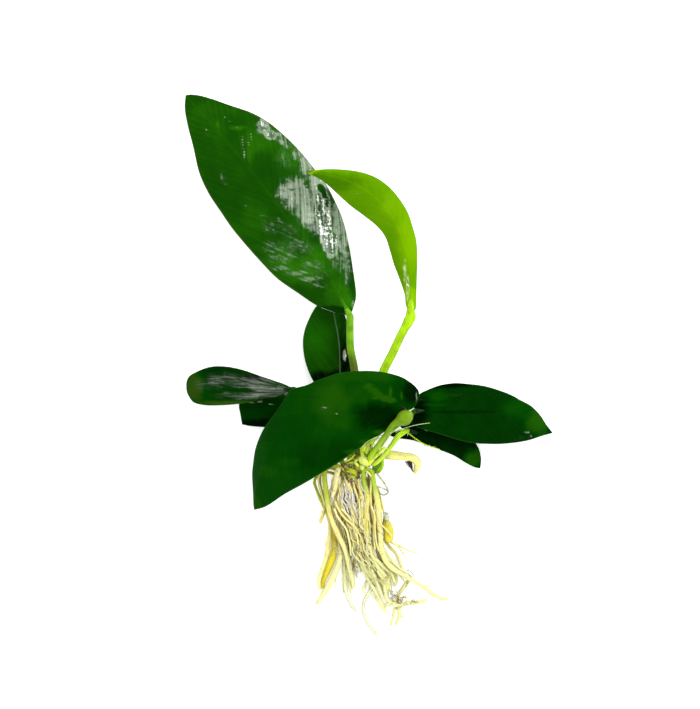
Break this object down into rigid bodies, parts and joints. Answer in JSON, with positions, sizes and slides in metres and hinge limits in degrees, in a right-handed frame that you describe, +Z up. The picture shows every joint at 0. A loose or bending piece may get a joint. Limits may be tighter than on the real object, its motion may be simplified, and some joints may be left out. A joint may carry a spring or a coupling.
{
  "type": "bare-rooted anubias",
  "caption": "Bare-rooted aquarium plant lying on a surface: broad pointed leaves on stalks from a short creeping stem, with long trailing roots.",
  "frame": {"origin": "on the surface that the plant lies on, at the middle of its bounding box seen from above", "axes": "+Z up from the surface; +Y from the root tips towards the tall leaf's tip; +X towards the right-hand leaf's tip"},
  "size_m": [0.1228, 0.1809, 0.035],
  "materials": {
    "leaf_dark_green": "wet, smooth, glossy dark green leaf",
    "leaf_mid_green": "wet, glossy mid green leaf with a streaky sheen",
    "leaf_young_green": "smooth, satin yellow-green young leaf",
    "stalk_light_green": "satin light green living stalk",
    "rhizome_yellow_green": "knobbly yellow-green and cream skin with brown scars",
    "root_cream": "damp cream root",
    "root_green_yellow": "damp root, green near the rhizome and cream further out",
    "root_ochre": "damp ochre root",
    "sheath_dark_brown": "dry black-brown torn skin"
  },
  "bodies": {
    "root": {"leaf_tall": "leaf_mid_green", "leaf_young": "leaf_young_green", "leaf_rear": "leaf_dark_green", "leaf_left": "leaf_dark_green", "leaf_left_low": "leaf_dark_green", "leaf_front": "leaf_dark_green", "leaf_right": "leaf_dark_green", "leaf_right_low": "leaf_dark_green", "stalk_tall": "stalk_light_green", "stalk_young": "stalk_light_green", "stalk_rear": "stalk_light_green", "stalk_left": "stalk_light_green", "stalk_left_low": "stalk_light_green", "stalk_front": "stalk_light_green", "stalk_right": "stalk_light_green", "stalk_right_low": "stalk_light_green", "crown_stub": "stalk_light_green", "rhizome_bud": "stalk_light_green", "rhizome": "rhizome_yellow_green", "hooked_root": "root_cream", "hooked_root_sheath": "sheath_dark_brown", "root_01": "root_cream", "root_02": "root_green_yellow", "root_03": "root_cream", "root_04": "root_ochre", "root_05": "root_cream", "root_06": "root_cream", "root_07": "root_cream", "root_08": "root_cream", "root_09": "root_cream", "root_10": "root_cream", "root_11": "root_cream", "root_12": "root_green_yellow", "root_13": "root_green_yellow", "root_14": "root_ochre", "root_15": "root_cream", "root_16": "root_cream", "root_17": "root_cream", "root_18": "root_cream", "root_19": "root_cream", "root_20": "root_cream", "root_21": "root_cream", "root_22": "root_cream", "root_23": "root_cream", "root_24": "root_cream"}
  },
  "joints": []
}
